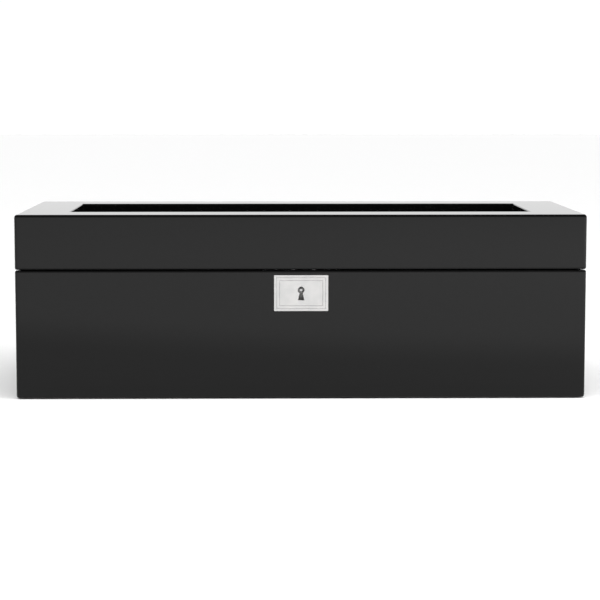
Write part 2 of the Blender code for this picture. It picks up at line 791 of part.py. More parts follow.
def bolt_spring(right):
    """A bent strip that rises from the foot of the tray and bears on the underside of the bolt."""
    foot, top = LOCK_FOOT + LOCK_SHEET + PLAY, BAR_FOOT - PLAY - SPRING_THICKNESS
    rise, steps = top - foot, 8
    line = [
        (right - SPRING_THICKNESS - SPRING_RUN * math.sin(t) ** 2, foot + rise * math.sin(t))
        for t in (math.pi / 2 * step / steps for step in range(steps + 1))
    ]
    offset = [
        (x + SPRING_THICKNESS, z + SPRING_THICKNESS * index / steps) for index, (x, z) in enumerate(line)
    ]
    half = BOLT_THICKNESS / 2
    outline = line + offset[::-1]
    slab("lock_spring", [outline], LOCK_MIDDLE - half, LOCK_MIDDLE + half, STEEL, upright=True)


def lock_strike(lid_front):
    """The plate under the lid's front wall, with the two hooks that the bolt holds."""
    half = FACE_PLATE_LENGTH / 2
    low, high = LID_FOOT, LID_FOOT + FACE_PLATE
    strike = block("lock_strike", (-half, LOCK_FRONT, low), (half, LOCK_BACK, high), NICKEL)
    for index, start in enumerate(HOOK_STARTS):
        outline = [
            (start, HOOK_TIP),
            (start + HOOK_SPAN, HOOK_TIP),
            (start + HOOK_SPAN, high - FACE_PLATE / 2),
            (start + HOOK_BARB, high - FACE_PLATE / 2),
            (start + HOOK_BARB, BARB_TOP),
            (start, BARB_TOP),
        ]
        thick = HOOK_THICKNESS / 2
        hook = slab(f"hook_{index}", [outline], LOCK_MIDDLE - thick, LOCK_MIDDLE + thick, upright=True)
        join(strike, hook)
    seat = block(
        "strike_seat",
        (-half - PLAY, LOCK_FRONT - PLAY, low - OVER),
        (half + PLAY, FRONT + WALL + OVER, high + PLAY),
    )
    cut(lid_front, seat)
    face_screws("lock_strike", LID_FOOT, (0, 0, 1), strike, lid_front)


# ---- assembly -------------------------------------------------------------------------------------

case_walls = case_board()
lid_walls = lid_board()
window_glass()
lining("case_liner", LINER, LINER_FOOT, LIP_TOP)
lining("lid_liner", LID_LINER, LIP_TOP + LINER_EASE, RETAINER_FOOT - PLAY)
compartments()
for hinge_side, sign in (("left", -1), ("right", 1)):
    hinge(hinge_side, sign * HINGE_SPACING / 2, case_walls["back"], lid_walls["back"])
lock_plate(case_walls["front"])
lock_body(case_walls["front"])
lock_strike(lid_walls["front"])

# The lid's pieces hang from an empty on the hinge axis.
pivot = bpy.data.objects.new("lid_pivot", None)
pivot.location = AXIS
PARTS.objects.link(pivot)
for part in PARTS.objects:
    if part.name.startswith(("lid_", "glass_", "window_", "lock_strike")) or "_lid_" in part.name:
        if part is not pivot:
            part.parent = pivot
            part.matrix_parent_inverse = Matrix.Translation(-AXIS)
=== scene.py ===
"""A lacquered watch box: a glass window in the hinged lid, a box lock, and five cushions in a suede lining.

Metres, +Z up, and the front faces -Y. The sections follow the box as it is put together.
"""

import json
import math

import bmesh
import bpy
from mathutils import Matrix, Vector, noise
from mathutils.bvhtree import BVHTree

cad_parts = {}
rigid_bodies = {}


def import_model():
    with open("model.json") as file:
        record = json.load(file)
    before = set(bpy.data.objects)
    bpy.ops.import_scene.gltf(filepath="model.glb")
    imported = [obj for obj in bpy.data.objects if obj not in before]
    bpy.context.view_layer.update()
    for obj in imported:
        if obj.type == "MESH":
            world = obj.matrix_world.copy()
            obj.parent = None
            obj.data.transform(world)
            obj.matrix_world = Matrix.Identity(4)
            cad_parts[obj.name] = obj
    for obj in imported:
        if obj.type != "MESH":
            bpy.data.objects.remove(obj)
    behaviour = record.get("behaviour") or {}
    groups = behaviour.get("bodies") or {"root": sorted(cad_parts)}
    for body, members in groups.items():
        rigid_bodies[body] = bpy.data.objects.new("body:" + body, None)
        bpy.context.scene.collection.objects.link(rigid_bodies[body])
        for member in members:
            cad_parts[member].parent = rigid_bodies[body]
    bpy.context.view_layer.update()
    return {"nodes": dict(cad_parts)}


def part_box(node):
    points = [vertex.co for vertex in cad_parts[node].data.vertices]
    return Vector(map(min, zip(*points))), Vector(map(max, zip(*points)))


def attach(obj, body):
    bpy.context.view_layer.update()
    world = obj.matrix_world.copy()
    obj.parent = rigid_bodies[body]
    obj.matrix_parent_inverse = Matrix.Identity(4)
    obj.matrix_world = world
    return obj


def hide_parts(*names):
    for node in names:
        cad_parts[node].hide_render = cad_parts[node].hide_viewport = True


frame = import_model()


# ---- case -----------------------------------------------------------------------------------------
# Four boards are mitred and glued into a ring, rebated below for the base, sprayed with black lacquer
# and polished until no joint shows. The back edge is chamfered so that the open lid leans on it, and
# the rim is mortised for the hinges and the lock.

MM = 0.001
PLAY = 0.3 * MM
EDGE_ROUND = 1.8 * MM
SEAM_ROUND = 1.3 * MM
INNER_EASE = 0.4 * MM
INNER_CORNER = 0.5 * MM
CHAMFER_EASE = 0.5 * MM
LEAN = math.radians(47.5)
STOP_PLAY = 0.5 * MM
BARREL = 2.5 * MM
LEAF = 1.1 * MM
KEYHOLE_RADIUS = 2.2 * MM
KEYHOLE_NECK = 1.0 * MM
KEYHOLE_FOOT = 2.0 * MM
KEYHOLE_DROP = 6.5 * MM
BEYOND = 5 * MM
CHAMFER_HEIGHTS = [height * MM for height in (1.6, 2.4, 3.2, 3.8, 4.2, 4.5, 4.8, 5.1, 5.5, 6, 7)]

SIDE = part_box("case_right")[1].x
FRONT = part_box("case_front")[0].y
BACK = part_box("case_back")[1].y
CASE_FOOT, RIM = (corner.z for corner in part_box("case_left"))
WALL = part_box("case_front")[1].y - FRONT
AXIS = sum(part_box("hinge_left_pin"), Vector()) / 2
KEY_AXIS = sum(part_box("lock_post"), Vector()) / 2


class Wire:
    """A value on its way through a material. Arithmetic on it adds Math nodes."""

    def __init__(self, socket):
        self.socket = socket

    def node(self, kind, settings=(), sockets=(), output=0):
        """Adds a node of a kind with its settings, then its sockets' values or wires."""
        made = self.socket.id_data.nodes.new("ShaderNode" + kind)
        for name, value in dict(settings).items():
            setattr(made, name, value)
        for name, value in dict(sockets).items():
            if isinstance(value, Wire):
                made.id_data.links.new(value.socket, made.inputs[name])
            else:
                made.inputs[name].default_value = value
        return Wire(made.outputs[output])

    def maths(self, operation, *values):
        return self.node("Math", {"operation": operation}, enumerate(values))

    def __add__(self, other):
        return self.maths("ADD", self, other)

    def __sub__(self, other):
        return self.maths("SUBTRACT", self, other)

    def __rsub__(self, other):
        return self.maths("SUBTRACT", other, self)

    def __mul__(self, other):
        return self.maths("MULTIPLY", self, other)

    __radd__ = __add__
    __rmul__ = __mul__

    def rise(self, low, high):
        """0 below low, 1 above high, and a soft step between."""
        settings = {"interpolation_type": "SMOOTHSTEP"}
        return self.node("MapRange", settings, {"Value": self, "From Min": low, "From Max": high})

    def colour(self, first, second):
        """The first colour where this is 0, and the second where it is 1."""
        return self.node("Mix", {"data_type": "RGBA"}, {0: self, 6: first, 7: second}, 2)

    def cloud(self, size, detail=2.0):
        """Soft noise with features of about this size in metres."""
        return self.node("TexNoise", (), {"Vector": self, "Scale": 1 / size, "Detail": detail})

    def stretch(self, x, y, z):
        """The same place with its axes scaled, so that noise on it is drawn out."""
        return self.node("VectorMath", {"operation": "MULTIPLY"}, {0: self, 1: (x, y, z)})

    def axis(self, index):
        return self.node("SeparateXYZ", (), {0: self}, index)

    def bump(self, height, depth):
        """A surface that is raised by up to depth metres where height is 1."""
        return self.node("Bump", (), {"Distance": depth, "Height": height})


def grey(tone, warmth=0.0):
    """A neutral colour, a little warmer or cooler."""
    return tone * (1 + warmth), tone, tone * (1 - warmth), 1


def new_finish(name):
    """A material, and the wire that carries a point's place in metres."""
    material = bpy.data.materials.new(name)
    material.use_nodes = True
    return material, Wire(material.node_tree.nodes.new("ShaderNodeTexCoord").outputs["Object"])


def set_finish(material, sockets):
    """Gives the material's shader its numbers, colours and wires."""
    shader = material.node_tree.nodes["Principled BSDF"]
    for name, value in sockets.items():
        if isinstance(value, Wire):
            material.node_tree.links.new(value.socket, shader.inputs[name])
        else:
            shader.inputs[name].default_value = value


def as_mesh(shape):
    """A finished mesh from a bmesh, with its faces turned outwards."""
    bmesh.ops.recalc_face_normals(shape, faces=shape.faces[:])
    mesh = bpy.data.meshes.new("work")
    shape.to_mesh(mesh)
    shape.free()
    return mesh


def rounding(radius, steps=6):
    """A quarter round from the end face to the side face, as pairs: how far in, and how far along."""
    turns = [math.pi / 2 * step / steps for step in range(steps + 1)]
    return [(radius * (1 - math.sin(turn)), radius * (1 - math.cos(turn))) for turn in turns]


def rounded_outline(low_u, high_u, low_v, high_v, radius, steps=6):
    """Points around a rectangle with round corners."""
    points = []
    corners = (high_u, high_v), (low_u, high_v), (low_u, low_v), (high_u, low_v)
    for turn, (u, v) in enumerate(corners):
        middle_u = u - math.copysign(radius, u - (low_u + high_u) / 2)
        middle_v = v - math.copysign(radius, v - (low_v + high_v) / 2)
        for step in range(steps + 1):
            angle = math.pi / 2 * (turn + step / steps)
            points.append((middle_u + radius * math.cos(angle), middle_v + radius * math.sin(angle)))
    return points


def bridge(shape, loops, closed=False):
    """Faces between loops of vertices, each joined to the next."""
    pairs = zip(loops, loops[1:] + loops[:1]) if closed else zip(loops, loops[1:])
    for here, there in pairs:
        for index in range(len(here)):
            shape.faces.new((here[index - 1], here[index], there[index], there[index - 1]))


def ring(levels):
    """A closed ring through level outlines: how far in, how far in at the back, and how high."""
    shape = bmesh.new()
    loops = []
    for inset, back, z in levels:
        radius = max(EDGE_ROUND - inset, INNER_CORNER)
        outline = rounded_outline(-SIDE + inset, SIDE - inset, FRONT + inset, BACK - back, radius)
        loops.append([shape.verts.new((x, y, z)) for x, y in outline])
    bridge(shape, loops, closed=True)
    return as_mesh(shape)


def back_inset(z):
    """How far in the chamfer takes the back at this height. It starts softly."""
    height = abs(z - AXIS.z)
    plain = BACK - AXIS.y + (STOP_PLAY / 2 - math.cos(LEAN) * height) / math.sin(LEAN)
    return (plain + math.hypot(plain, CHAMFER_EASE)) / 2


def outside(inset, z):
    """A level on the outer face."""
    return inset, max(inset, back_inset(z) + PLAY * inset / SEAM_ROUND), z


def inside(inset, z):
    """A level on the inner face, even all round."""
    return inset, inset, z


def block(low, high, ease=0.0):
    """A block between two corners, its edges eased."""
    shape = bmesh.new()
    size = Matrix.Diagonal((*(high - low), 1))
    bmesh.ops.create_cube(shape, size=1, matrix=Matrix.Translation((low + high) / 2) @ size)
    if ease:
        bmesh.ops.bevel(shape, geom=shape.edges[:], offset=ease, segments=2, profile=0.5, affect="EDGES")
    return as_mesh(shape)


def turned(profile, foot, way, segments=48):
    """A round piece turned about a line from foot, from its profile of radius and distance along."""
    shape = bmesh.new()
    turn = Vector(way).to_track_quat("Z", "Y").to_matrix()
    loops = []
    for radius, along in profile:
        angles = [2 * math.pi * step / segments for step in range(segments if radius else 1)]
        points = [Vector((radius * math.cos(a), radius * math.sin(a), along)) for a in angles]
        loops.append([shape.verts.new(Vector(foot) + turn @ point) for point in points])
    for here, there in zip(loops, loops[1:]):
        for step in range(segments):
            near, far = step, (step + 1) % segments
            around = (here, near), (here, far), (there, far), (there, near)
            shape.faces.new(list(dict.fromkeys(loop[place % len(loop)] for loop, place in around)))
    return as_mesh(shape)


def bar(radius, start, end, ease=0.0, segments=48):
    """A round bar between two points along X."""
    length = end - start
    ends = rounding(ease, 4) if ease else [(0, 0)]
    profile = [(0, 0)]
    profile += [(radius - inset, along) for inset, along in ends]
    profile += [(radius - inset, length - along) for inset, along in reversed(ends)]
    profile += [(0, length)]
    return turned(profile, (start, AXIS.y, AXIS.z), (1, 0, 0), segments)


def keyhole(grow=0.0):
    """A round hole over a flared slot, as points in X and Z."""
    radius, neck, foot = KEYHOLE_RADIUS + grow, KEYHOLE_NECK + grow, KEYHOLE_FOOT + grow
    bottom = KEY_AXIS.z - KEYHOLE_DROP - grow
    start = math.asin(neck / radius)
    steps = 32
    angles = [start + (2 * math.pi - 2 * start) * step / steps - math.pi / 2 for step in range(steps + 1)]
    arc = [(radius * math.cos(angle), KEY_AXIS.z + radius * math.sin(angle)) for angle in angles]
    return [*arc, (-foot, bottom), (foot, bottom)]


def prism(outline, low_y, high_y):
    """An upright outline given thickness along Y."""
    shape = bmesh.new()
    loops = [[shape.verts.new((x, y, z)) for x, z in outline] for y in (low_y, high_y)]
    bridge(shape, loops)
    for loop in loops:
        shape.faces.new(loop)
    return as_mesh(shape)


def carve(mesh, *tools, operation="DIFFERENCE"):
    """A new mesh: this one with the tools taken out of it, or joined to it."""
    objects = [bpy.data.objects.new("work", data) for data in (mesh, *tools)]
    for obj in objects:
        bpy.context.scene.collection.objects.link(obj)
    for tool in objects[1:]:
        modifier = objects[0].modifiers.new("carve", "BOOLEAN")
        modifier.operation = operation
        modifier.solver = "EXACT"
        modifier.object = tool
    bpy.context.view_layer.update()
    made = bpy.data.meshes.new_from_object(objects[0].evaluated_get(bpy.context.evaluated_depsgraph_get()))
    for obj in objects:
        bpy.data.objects.remove(obj)
    return made


def fit(name, mesh, material, body, slot, *nodes, crease=35):
    """Fits a finished piece to its body, in place of the nodes that it stands for."""
    mesh.name = name
    mesh.materials.append(material)
    mesh.shade_smooth()
    piece = bpy.data.objects.new(name, mesh)
    bpy.context.scene.collection.objects.link(piece)
    if crease:
        mesh.set_sharp_from_angle(angle=math.radians(crease))
        even = piece.modifiers.new("even_shading", "WEIGHTED_NORMAL")
        even.keep_sharp = True
    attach(piece, body)
    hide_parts(*nodes)
    return piece


lacquer, at = new_finish("polished_lacquer")
ripple = at.cloud(5 * MM, 1)
haze = at.cloud(60 * MM, 3).rise(0.35, 0.75)
specks = at.node("TexVoronoi", {"feature": "F1"}, {"Vector": at, "Scale": 1 / (9 * MM)})
dust = (1 - specks.rise(0.0, 0.035)) * haze
hairlines = at.stretch(1, 1, 14).cloud(3 * MM, 6).rise(0.55, 0.8) * haze
set_finish(lacquer, {
    "Base Color": dust.colour(grey(0.0022), grey(0.05)),
    "Roughness": 0.02 + 0.025 * haze + 0.03 * hairlines + 0.2 * dust,
    "IOR": 1.305,
    "Normal": at.bump(ripple, 0.004 * MM),
})

base_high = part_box("case_base")[1]
rebate = SIDE - base_high.x - PLAY
rebate_top = base_high.z + PLAY
levels = [outside(inset, CASE_FOOT + along) for inset, along in rounding(EDGE_ROUND)]
levels += [outside(0, RIM - height) for height in reversed(CHAMFER_HEIGHTS)]
levels += [outside(inset, RIM - along) for inset, along in reversed(rounding(SEAM_ROUND))]
levels += [inside(WALL - inset, RIM - along) for inset, along in rounding(INNER_EASE, 3)]
levels += [inside(WALL, rebate_top), inside(rebate, rebate_top), inside(rebate, CASE_FOOT)]

plate_low, plate_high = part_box("lock_plate")
tray_low, tray_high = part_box("lock_tray")
face_low, face_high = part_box("lock_face_plate")
room = Vector((PLAY, PLAY, PLAY))
open_in = Vector((0, WALL, 0))
over_rim = Vector((0, 0, BEYOND))
cutters = [
    block(plate_low - room - Vector((0, WALL, 0)), plate_high + room),
    prism(keyhole(2 * PLAY), plate_low.y, tray_low.y + PLAY),
    block(tray_low - room, tray_high + room + open_in + over_rim),
    block(face_low - room, face_high + room + open_in + over_rim),
]
for side in ("left", "right"):
    pin_low, pin_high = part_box(f"hinge_{side}_pin")
    leaf_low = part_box(f"hinge_{side}_case_leaf")[0]
    seat_low = Vector((pin_low.x - 2 * PLAY, leaf_low.y - PLAY, RIM - LEAF - PLAY))
    cutters.append(block(seat_low, Vector((pin_high.x + 2 * PLAY, AXIS.y, RIM + BEYOND))))
    cutters.append(bar(BARREL + 2 * PLAY, pin_low.x - 2 * PLAY, pin_high.x + 2 * PLAY))
fit(
    "case_shell", carve(ring(levels), *cutters), lacquer, "case", "black_lacquer",
    "case_front", "case_back", "case_left", "case_right",
)


# ---- base -----------------------------------------------------------------------------------------
# The base is a sheet of black fibreboard let into the rebate. Felt is glued under it and stands a little
# below the walls, so that the lacquer never touches the table.

board, at = new_finish("black_fibreboard")
fibres = at.stretch(1, 1, 4).cloud(1.2 * MM, 6)
set_finish(board, {
    "Base Color": fibres.rise(0.3, 0.7).colour(grey(0.018, 0.03), grey(0.05, 0.05)),
    "Roughness": 0.6 + 0.25 * fibres,
    "Normal": at.bump(fibres, 0.08 * MM),
})
base_node = frame["nodes"]["case_base"]
base_node.material_slots[0].material = board

FELT_ROUND = 0.35 * MM
FELT_CELL = 5 * MM
FELT_SLACK = 0.12 * MM


def grid_ticks(low, high, radius, cell):
    """Where the grid lines of a soft block lie along one axis, closer over the rounded edges."""
    start = [radius * (1 - math.tan(math.radians(angle))) for angle in (45, 30, 15, 0)]
    count = max(1, round((high - low - 2 * radius) / cell))
    middle = [low + radius + (high - low - 2 * radius) * step / count for step in range(1, count)]
    return [low + tick for tick in start] + middle + [high - tick for tick in reversed(start)]


def grid_box(ticks):
    """The surface of a block on a grid of lines. Returns the bmesh and its vertices by grid place."""
    shape = bmesh.new()
    found = {}

    def vertex(place):
        if place not in found:
            found[place] = shape.verts.new([ticks[axis][place[axis]] for axis in range(3)])
        return found[place]

    for axis in range(3):
        across, along = [other for other in range(3) if other != axis]
        for end in (0, len(ticks[axis]) - 1):
            for u in range(len(ticks[across]) - 1):
                for v in range(len(ticks[along]) - 1):
                    corners = []
                    for step_u, step_v in ((0, 0), (1, 0), (1, 1), (0, 1)):
                        place = [end, end, end]
                        place[across], place[along] = u + step_u, v + step_v
                        corners.append(vertex(tuple(place)))
                    shape.faces.new(corners)
    return shape, found


def soft_block(low, high, radius, cell, slack=0.0, seed=0):
    """A block with well-rounded edges, and faces that sink unevenly by up to slack."""
    shape, found = grid_box([grid_ticks(a, b, radius, cell) for a, b in zip(low, high)])
    inner = [(a + radius, b - radius) for a, b in zip(low, high)]
    for vertex in found.values():
        core = Vector([min(max(value, a), b) for value, (a, b) in zip(vertex.co, inner)])
        outward = (vertex.co - core).normalized()
        dip = 0.5 + 0.5 * noise.noise(core * 28 + Vector((seed, 0, 0)))
        vertex.co = core + outward * (radius - slack * dip)
    return as_mesh(shape)


felt, at = new_finish("black_felt_cloth")
tangle = at.cloud(0.5 * MM, 6)
matted = at.cloud(14 * MM, 3)
set_finish(felt, {
    "Base Color": (tangle * 0.7 + matted * 0.3).rise(0.3, 0.7).colour(grey(0.008), grey(0.026)),
    "Roughness": 0.9 + 0.1 * tangle,
    "Sheen Weight": 0.3,
    "Normal": at.bump(tangle, 0.3 * MM),
})
felt_low, felt_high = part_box("base_felt")
felt_mesh = soft_block(felt_low, felt_high, FELT_ROUND, FELT_CELL, FELT_SLACK)
felt_sheet = fit("base_felt_sheet", felt_mesh, felt, "case", "black_felt", "base_felt", crease=0)


# ---- lock plate -----------------------------------------------------------------------------------
# A pressed nickel plate is let into the front until half a millimetre stands proud. Two fine lines are
# engraved round its edge, and a plain keyhole is pierced through it over the post of the lock.

PLATE_ROUND = 0.35 * MM
PLATE_CORNER = 0.5 * MM
LINE_INSETS = (1.75 * MM, 3.55 * MM)
LINE_WIDTH = 0.46 * MM
LINE_DEPTH = 0.2 * MM
SHARPEST_CORNER = 0.12 * MM

nickel, at = new_finish("satin_nickel_plate")
brushed = at.stretch(1, 20, 26).cloud(6 * MM, 8)
cast = at.cloud(8 * MM, 2)
set_finish(nickel, {
    "Base Color": cast.rise(0.3, 0.7).colour(grey(0.49, 0.005), grey(0.54, 0.012)),
    "Metallic": 1.0,
    "Roughness": 0.2 + 0.1 * brushed,
    "Normal": at.bump(brushed, 0.004 * MM),
})

shape = bmesh.new()
profile = [(0, plate_high.y - plate_low.y)]
profile += [(inset, along) for along, inset in rounding(PLATE_ROUND, 5)]
half = LINE_WIDTH / 2
for inset in LINE_INSETS:
    profile += [(inset - half, 0), (inset - half / 2, LINE_DEPTH)]
    profile += [(inset + half / 2, LINE_DEPTH), (inset + half, 0)]
loops = []
for inset, depth in profile:
    corner = max(PLATE_CORNER - inset, SHARPEST_CORNER)
    outline = rounded_outline(
        plate_low.x + inset, plate_high.x - inset, plate_low.z + inset, plate_high.z - inset, corner
    )
    loops.append([shape.verts.new((x, plate_low.y + depth, z)) for x, z in outline])
bridge(shape, loops)
shape.faces.new(loops[0])
shape.faces.new(loops[-1])
plate = carve(as_mesh(shape), prism(keyhole(), plate_low.y - MM, plate_high.y + MM))
fit("lock_plate_engraved", plate, nickel, "case", "satin_nickel", "lock_plate", crease=25)


# ---- lock -----------------------------------------------------------------------------------------
# The lock is let into the front wall from above: a folded steel tray with a cover, a post for the key,
# a bolt with two noses and a strip spring under it. A nickel plate closes the rim over it, and a second
# one under the lid carries the hooks that the bolt holds.

STEEL_EASE = 0.1 * MM
PLATE_EASE = 0.12 * MM

bright, at = new_finish("polished_nickel")
rubbed = at.stretch(24, 1, 24).cloud(7 * MM, 8)
breath = at.cloud(6 * MM, 3).rise(0.4, 0.8)
set_finish(bright, {
    "Base Color": breath.colour(grey(0.86, 0.012), grey(0.74, 0.03)),
    "Metallic": 1.0,
    "Roughness": 0.24 + 0.14 * rubbed + 0.08 * breath,
    "Normal": at.bump(rubbed, 0.004 * MM),
})

steel, at = new_finish("lock_sheet_steel")
rolled = at.stretch(1, 1, 18).cloud(5 * MM, 8)
stain = at.cloud(11 * MM, 4).rise(0.4, 0.75)
set_finish(steel, {
    "Base Color": stain.colour(grey(0.5), grey(0.36, 0.05)),
    "Metallic": 1.0,
    "Roughness": 0.3 + 0.15 * rolled + 0.12 * stain,
    "Normal": at.bump(rolled, 0.01 * MM),
})


def dress(node, material, ease):
    """A new finish for a CAD piece, and its edges taken off."""
    piece = frame["nodes"][node]
    piece.material_slots[0].material = material
    eased = piece.modifiers.new("eased_edges", "BEVEL")
    eased.width = ease
    eased.segments = 2
    eased.limit_method = "ANGLE"
    eased.angle_limit = math.radians(50)


for node in ("lock_tray", "lock_cover", "lock_spring", "lock_bolt", "lock_post"):
    dress(node, steel, STEEL_EASE)
for node in ("lock_face_plate", "lock_strike"):
    dress(node, bright, PLATE_EASE)


# ---- lid ------------------------------------------------------------------------------------------
# The lid is a second ring of boards under a mitred top frame, lacquered as one with it. The frame is
# rebated from below for the glass, and the window's upper edge is softly eased.

WINDOW_EASE = 0.8 * MM
WINDOW_BORDER = 32 * MM

LID_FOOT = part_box("lid_left")[0].z
FRAME_FOOT, LID_TOP = (corner.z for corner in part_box("lid_top_frame"))
glass_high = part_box("window_glass")[1]
retainer_low, retainer_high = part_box("glass_retainer")
glass_rebate = SIDE - glass_high.x - PLAY
glass_rebate_top = glass_high.z + PLAY

levels = [outside(inset, LID_FOOT + along) for inset, along in rounding(SEAM_ROUND)]
levels += [outside(0, LID_FOOT + height) for height in CHAMFER_HEIGHTS]
levels += [outside(inset, LID_TOP - along) for inset, along in reversed(rounding(EDGE_ROUND))]
levels += [inside(WINDOW_BORDER - inset, LID_TOP - along) for inset, along in rounding(WINDOW_EASE)]
levels += [inside(WINDOW_BORDER, glass_rebate_top), inside(glass_rebate, glass_rebate_top)]
levels += [inside(glass_rebate, FRAME_FOOT), inside(WALL, FRAME_FOOT)]
levels += [inside(WALL - inset, LID_FOOT + along) for inset, along in reversed(rounding(INNER_EASE, 3))]

strike_low, strike_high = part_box("lock_strike")
strike_foot = Vector((strike_low.x, strike_low.y, LID_FOOT))
cutters = [block(strike_foot - room - over_rim, strike_high + room + open_in)]
for side in ("left", "right"):
    pin_low, pin_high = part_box(f"hinge_{side}_pin")
    leaf_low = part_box(f"hinge_{side}_lid_leaf")[0]
    seat_low = Vector((pin_low.x - 2 * PLAY, leaf_low.y - PLAY, LID_FOOT - BEYOND))
    cutters.append(block(seat_low, Vector((pin_high.x + 2 * PLAY, AXIS.y, LID_FOOT + LEAF + PLAY))))
    cutters.append(bar(BARREL + 2 * PLAY, pin_low.x - 2 * PLAY, pin_high.x + 2 * PLAY))
fit(
    "lid_shell", carve(ring(levels), *cutters), lacquer, "lid", "black_lacquer",
    "lid_front", "lid_back", "lid_left", "lid_right", "lid_top_frame",
)


# ---- window ---------------------------------------------------------------------------------------
# A 3 mm pane drops into the rebate from inside. A suede-covered frame, pinned under it, holds it up and
# hides its edge.

RETAINER_ROUND = 1.1 * MM

pane, at = new_finish("clear_pane")
wiped = at.stretch(1, 3, 1).cloud(45 * MM, 4).rise(0.4, 0.8)
set_finish(pane, {
    "Base Color": (0.93, 0.97, 0.955, 1),
    "Roughness": 0.004 + 0.02 * wiped,
    "IOR": 1.46,
    "Transmission Weight": 1.0,
})
window = frame["nodes"]["window_glass"]
window.material_slots[0].material = pane
window.visible_shadow = False

suede, at = new_finish("charcoal_suede_cloth")
nap = at.cloud(0.35 * MM, 5)
strokes = at.stretch(1, 1.6, 0.8).cloud(22 * MM, 4)
shade = (nap * 0.45 + strokes * 0.55).rise(0.36, 0.66)
set_finish(suede, {
    "Base Color": shade.colour(grey(0.022, -0.02), grey(0.055, -0.02)),
    "Roughness": 0.82 + 0.18 * nap,
    "Sheen Weight": 0.45,
    "Sheen Roughness": 0.4,
    "Normal": at.bump(nap, 0.12 * MM),
})

outer = SIDE - retainer_high.x
foot, top = retainer_low.z, retainer_high.z
rounded = rounding(RETAINER_ROUND, 4)
levels = [inside(outer + inset, foot + along) for inset, along in rounded]
levels += [inside(outer + inset, top - along) for inset, along in reversed(rounded)]
levels += [inside(WINDOW_BORDER - inset, top - along) for inset, along in rounded]
levels += [inside(WINDOW_BORDER - inset, foot + along) for inset, along in reversed(rounded)]
fit("window_retainer", ring(levels), suede, "lid", "charcoal_suede", "glass_retainer", crease=0)


# ---- lining ---------------------------------------------------------------------------------------
# Thin boards wrapped in charcoal suede line the walls. In the case they stand up past the rim as a lip
# that locates the lid. The floor pad has a thin layer of foam under its suede, and the dividers stand on it.

WRAP_CELL = 7 * MM
WRAP_SLACK = 0.12 * MM
CASE_LINER_ROUND = 1.4 * MM
LID_LINER_ROUND = 1.15 * MM
DIVIDER_ROUND = 1.9 * MM
DIVIDER_SLACK = 0.15 * MM
PAD_SLACK = 0.5 * MM
FINE_CELL = 4 * MM


def wrapped(node, body, radius, slack=WRAP_SLACK, cell=WRAP_CELL):
    """A suede-wrapped board in the place of a CAD piece."""
    low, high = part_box(node)
    seed = 7.3 * len(bpy.data.objects)
    mesh = soft_block(low, high, radius, cell, slack, seed)
    return fit(f"{node}_wrapped", mesh, suede, body, "charcoal_suede", node, crease=0)


for side in ("front", "back", "left", "right"):
    wrapped(f"case_liner_{side}", "case", CASE_LINER_ROUND)
    wrapped(f"lid_liner_{side}", "lid", LID_LINER_ROUND)
for index in range(1, 5):
    wrapped(f"divider_{index}", "case", DIVIDER_ROUND, DIVIDER_SLACK, FINE_CELL)
floor_pad = wrapped("floor_pad", "case", CASE_LINER_ROUND, PAD_SLACK, FINE_CELL)


# ---- cushions -------------------------------------------------------------------------------------
# Each compartment has a stuffed roll for a watch strap to close round. Grained leather cloth is wrapped
# over the filling, suede panels are sewn in at both ends with a corded piping between, and a row of
# stitches holds the piping's flange.

ROLL_CELLS = (15, 20, 12)
ROLL_ROUND = 17 * MM
SEAM_TUCK = 1.6 * MM
PIPING = 1.0 * MM
CLEAR = 0.3 * MM
SWELL = 2.6 * MM
STITCH_PITCH = 3.4 * MM
STITCH_LENGTH = 2.3 * MM
STITCH_RADIUS = 0.26 * MM
STITCH_INSET = 2.6 * MM
STITCH_DROP = 0.08 * MM
CORD_STEP = 1.6 * MM
PRESSURE = 140
SETTLING = 20
DENT = 0.5 * MM
PUCKER = 0.55 * MM
PUCKER_REACH = 5 * MM
SINK = 0.3 * MM
GRAIN = 1.1 * MM
GRAIN_WANDER = 0.4 * MM

first_low, first_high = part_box("cushion_1")
roll_size = (first_high - first_low) / 2 - Vector((CLEAR, CLEAR, CLEAR))
reach = roll_size - Vector((SEAM_TUCK, SWELL, SWELL))
core_y, core_z = reach.y - ROLL_ROUND, reach.z - ROLL_ROUND

leather, at = new_finish("grained_leather_cloth")
wander = at.node("TexNoise", (), {"Vector": at, "Scale": 1 / GRAIN}, 1)
wander = wander.stretch(GRAIN_WANDER, GRAIN_WANDER, GRAIN_WANDER)
cells = {"Vector": at.node("VectorMath", {"operation": "ADD"}, {0: at, 1: wander}), "Scale": 1 / GRAIN}
pebbles = at.node("TexVoronoi", {"feature": "SMOOTH_F1"}, {**cells, "Smoothness": 0.35})
creases = at.node("TexVoronoi", {"feature": "DISTANCE_TO_EDGE"}, cells).rise(0.0, 0.16)
dye = at.cloud(16 * MM, 4)
grain = creases * 0.7 - pebbles * 0.3
# The base colour is darker down in the grain's creases, which is painted shade, and it also varies with the
# dye's own uneven tone.
set_finish(leather, {
    "Base Color": (creases * 0.6 + dye * 0.4).rise(0.2, 0.9).colour(grey(0.006), grey(0.02, 0.01)),
    "Roughness": 0.56 - 0.16 * creases + 0.08 * dye,
    "Normal": at.bump(grain, 0.16 * MM),
})

thread, at = new_finish("waxed_thread")
twist = at.node("TexWave", {"bands_direction": "DIAGONAL"}, {"Vector": at, "Scale": 2400, "Distortion": 0.5})
set_finish(thread, {
    "Base Color": twist.colour(grey(0.05), grey(0.13)),
    "Roughness": 0.5 + 0.2 * twist,
    "Normal": at.bump(twist, 0.05 * MM),
})


